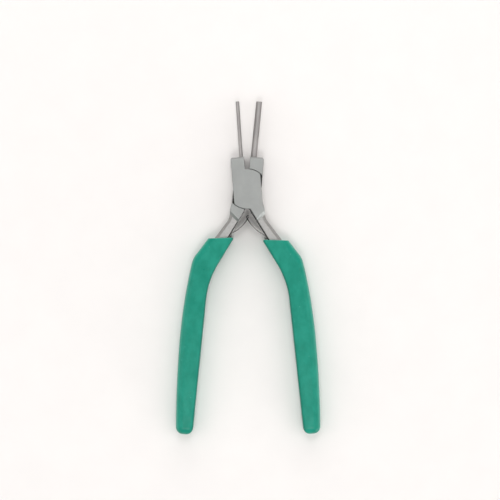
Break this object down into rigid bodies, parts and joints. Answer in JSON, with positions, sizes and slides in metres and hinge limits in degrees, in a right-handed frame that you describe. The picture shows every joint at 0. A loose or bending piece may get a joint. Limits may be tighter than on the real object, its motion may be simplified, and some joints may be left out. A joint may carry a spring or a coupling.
{
  "type": "jump ring pliers",
  "caption": "Hand pliers with a box joint, two round mandrels for winding wire into rings, hooked leaf springs that open the jaws, and dipped grips.",
  "frame": {"origin": "where the pivot axis meets the back face of the joint", "axes": "+Z along the pivot axis from the back face to the front face, +Y towards the mandrel tips, +X to the side of the large mandrel"},
  "size_m": [0.0608, 0.1401, 0.0095],
  "materials": {
    "ground_steel": "fine satin grind",
    "pin_steel": "satin",
    "mandrel_steel": "smooth turned",
    "spring_steel": "satin strip",
    "grip_vinyl": "soft gloss dipped vinyl"
  },
  "bodies": {
    "outer": {"outer_half": "ground_steel", "pivot_pin": "pin_steel", "small_mandrel": "mandrel_steel", "right_leaf_spring": "spring_steel", "right_spring_rivet": "pin_steel", "right_grip": "grip_vinyl"},
    "inner": {"inner_half": "ground_steel", "large_mandrel": "mandrel_steel", "left_leaf_spring": "spring_steel", "left_spring_rivet": "pin_steel", "left_grip": "grip_vinyl"}
  },
  "joints": [
    {"name": "pivot", "type": "hinge", "parent": "outer", "child": "inner", "pos_m": [0, 0, 0.00425], "axis": [0, 0, 1], "range_deg": [-15.6, 10.5], "stiffness_Nm_per_rad": 2.5, "deforming": ["right_leaf_spring", "left_leaf_spring"]}
  ]
}
